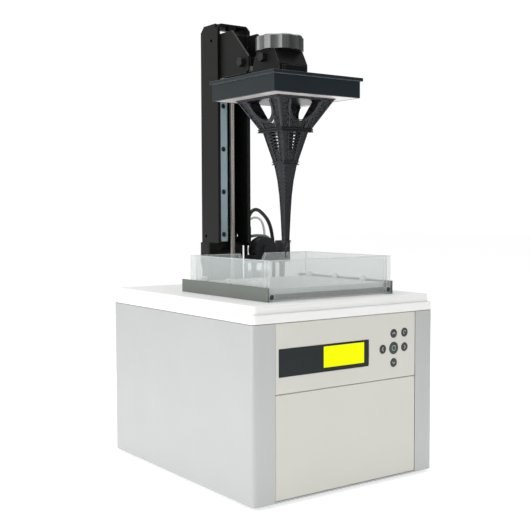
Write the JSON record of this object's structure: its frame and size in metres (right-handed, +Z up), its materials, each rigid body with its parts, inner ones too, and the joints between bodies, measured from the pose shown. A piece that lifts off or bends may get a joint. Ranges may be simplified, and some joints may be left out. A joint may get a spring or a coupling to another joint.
{
  "type": "resin 3-D printer",
  "caption": "Desktop resin printer: silver casing with keypad and display, clear tank, and a build platform on a screw-driven column.",
  "frame": {"origin": "centre of the casing's footprint, on the surface that the feet stand on", "axes": "+Z up; the front with the display faces -Y; +X is towards the keypad side"},
  "size_m": [0.28, 0.337, 0.59],
  "materials": {
    "silver_paint": "satin",
    "white_cover": "satin",
    "black_gloss": "gloss",
    "black_paint": "satin",
    "black_anodised": "satin",
    "grey_hose": "satin",
    "dark_plastic": "matte",
    "grey_anodised": "satin",
    "aluminium": "satin",
    "steel": "brushed",
    "bearing_steel": "polished",
    "acrylic": "clear",
    "window_glass": "clear",
    "silicone": "satin",
    "rubber_black": "matte",
    "nylon": "satin",
    "lcd": "glossy",
    "circuit_board": "satin",
    "mirror": "polished",
    "resin_print": "satin",
    "amber_bottle": "satin",
    "clear_hose": "glossy",
    "knob_grey": "satin"
  },
  "bodies": {
    "base": {"rubber_feet": "rubber_black", "base_pan": "black_paint", "frame_posts": "aluminium", "side_cover_left": "silver_paint", "side_cover_right": "silver_paint", "front_panel_upper": "silver_paint", "front_panel_lower": "silver_paint", "display_bezel": "black_gloss", "lcd_window": "lcd", "display_board": "circuit_board", "top_cover": "white_cover", "deck_plate": "aluminium", "laser_window": "window_glass", "rear_panel": "silver_paint", "power_inlet": "dark_plastic", "fan_housing": "dark_plastic", "power_supply": "steel", "main_board": "circuit_board", "optics_bench": "grey_anodised", "laser_module": "black_anodised", "fold_mirror": "mirror", "z_motor": "black_paint", "column_foot": "black_anodised", "z_column": "black_anodised", "z_rail": "bearing_steel", "rail_bolts": "steel", "tank_holder": "grey_anodised", "resin_bottle": "amber_bottle", "bottle_cap": "dark_plastic", "feed_pump": "dark_plastic", "feed_tube_black": "rubber_black", "feed_tube_clear": "clear_hose", "feed_tube_grey": "grey_hose"},
    "tank": {"tank_body": "acrylic", "tank_front_plate": "acrylic", "tank_screws": "steel", "silicone_layer": "silicone", "nylon_screws": "nylon"},
    "carriage": {"rail_block": "steel", "nut_block": "black_anodised", "carriage_bracket": "black_anodised", "platform_arm": "black_anodised", "arm_thumb_screws": "dark_plastic"},
    "platform": {"platform_hanger": "black_anodised", "hanger_thumb_screws": "dark_plastic", "platform_tray": "black_anodised", "build_plate": "aluminium", "sample_print": "resin_print"},
    "knob": {"clamp_knob": "knob_grey"},
    "screw": {"leadscrew": "steel"},
    "fan": {"fan_rotor": "dark_plastic"},
    "switch": {"power_switch": "dark_plastic"},
    "mirror_x": {"galvo_mirror_x": "mirror"},
    "mirror_y": {"galvo_mirror_y": "mirror"},
    "key_up": {"button_up": "black_gloss"},
    "key_down": {"button_down": "black_gloss"},
    "key_left": {"button_left": "black_gloss"},
    "key_right": {"button_right": "black_gloss"},
    "key_ok": {"button_ok": "black_gloss"},
    "key_back": {"button_back": "black_gloss"}
  },
  "joints": [
    {"name": "z_slide", "type": "slide", "parent": "base", "child": "carriage", "axis": [0, 0, 1], "range_m": [-0.232, 0.006], "deforming": ["sample_print"]},
    {"name": "screw_spin", "type": "hinge", "parent": "base", "child": "screw", "pos_m": [0, 0.08, 0.4], "axis": [0, 0, 1], "continuous": true},
    {"name": "platform_slide", "type": "slide", "parent": "carriage", "child": "platform", "axis": [0, -1, 0], "range_m": [0, 0.12]},
    {"name": "knob_turn", "type": "hinge", "parent": "platform", "child": "knob", "pos_m": [0, -0.031, 0.54], "axis": [0, 0, 1], "range_deg": [0, 360]},
    {"name": "tank_slide", "type": "slide", "parent": "base", "child": "tank", "axis": [0, -1, 0], "range_m": [0, 0.2]},
    {"name": "fan_spin", "type": "hinge", "parent": "base", "child": "fan", "pos_m": [0.06, 0.159, 0.12], "axis": [0, 1, 0], "continuous": true},
    {"name": "power_rocker", "type": "hinge", "parent": "base", "child": "switch", "pos_m": [-0.045, 0.162, 0.042], "axis": [1, 0, 0], "range_deg": [-16, 0]},
    {"name": "mirror_x_turn", "type": "hinge", "parent": "base", "child": "mirror_x", "pos_m": [0, 0.044, 0.112], "axis": [0, 0, 1], "range_deg": [-15, 15]},
    {"name": "mirror_y_turn", "type": "hinge", "parent": "base", "child": "mirror_y", "pos_m": [0, 0.014, 0.112], "axis": [1, 0, 0], "range_deg": [-15, 15]},
    {"name": "press_up", "type": "slide", "parent": "base", "child": "key_up", "axis": [0, 1, 0], "range_m": [0, 0.0012], "stiffness_N_per_m": 1500},
    {"name": "press_down", "type": "slide", "parent": "base", "child": "key_down", "axis": [0, 1, 0], "range_m": [0, 0.0012], "stiffness_N_per_m": 1500},
    {"name": "press_left", "type": "slide", "parent": "base", "child": "key_left", "axis": [0, 1, 0], "range_m": [0, 0.0012], "stiffness_N_per_m": 1500},
    {"name": "press_right", "type": "slide", "parent": "base", "child": "key_right", "axis": [0, 1, 0], "range_m": [0, 0.0012], "stiffness_N_per_m": 1500},
    {"name": "press_ok", "type": "slide", "parent": "base", "child": "key_ok", "axis": [0, 1, 0], "range_m": [0, 0.0012], "stiffness_N_per_m": 1500},
    {"name": "press_back", "type": "slide", "parent": "base", "child": "key_back", "axis": [0, 1, 0], "range_m": [0, 0.0012], "stiffness_N_per_m": 1500}
  ],
  "couplings": [
    {"joint": "screw_spin", "follows": "z_slide", "rad_per_m": -1570.8}
  ]
}
